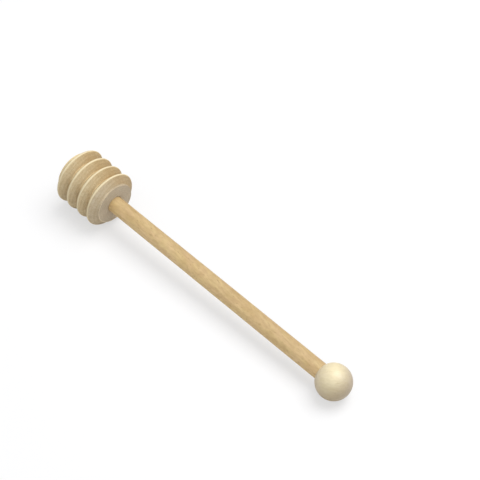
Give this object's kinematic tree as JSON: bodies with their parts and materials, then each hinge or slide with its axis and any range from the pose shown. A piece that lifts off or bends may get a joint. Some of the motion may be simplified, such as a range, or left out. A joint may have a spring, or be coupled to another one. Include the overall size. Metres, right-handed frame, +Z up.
{
  "type": "honey dipper",
  "caption": "Wooden honey dipper: a grooved turned head on one end of a round stick and a ball knob on the other, glued in drilled sockets.",
  "frame": {"origin": "on the surface that the dipper lies on, under the middle of the box round the resting dipper", "axes": "+X along the length, from the head towards the ball knob; +Z up; the dipper's own axis lies in the XZ plane and slopes down 2.28 degrees towards the knob, because the ball is smaller than the head"},
  "size_m": [0.1546, 0.0246, 0.0253],
  "materials": {
    "head_wood": "turned and sanded, unfinished, fine growth rings",
    "stick_wood": "sanded dowel, unfinished, long straight grain",
    "knob_wood": "turned and finely sanded, with a slight sheen",
    "cured_glue": "dried wood glue"
  },
  "bodies": {
    "root": {"head": "head_wood", "stick": "stick_wood", "knob": "knob_wood", "head_glue": "cured_glue", "knob_glue": "cured_glue"}
  },
  "joints": []
}
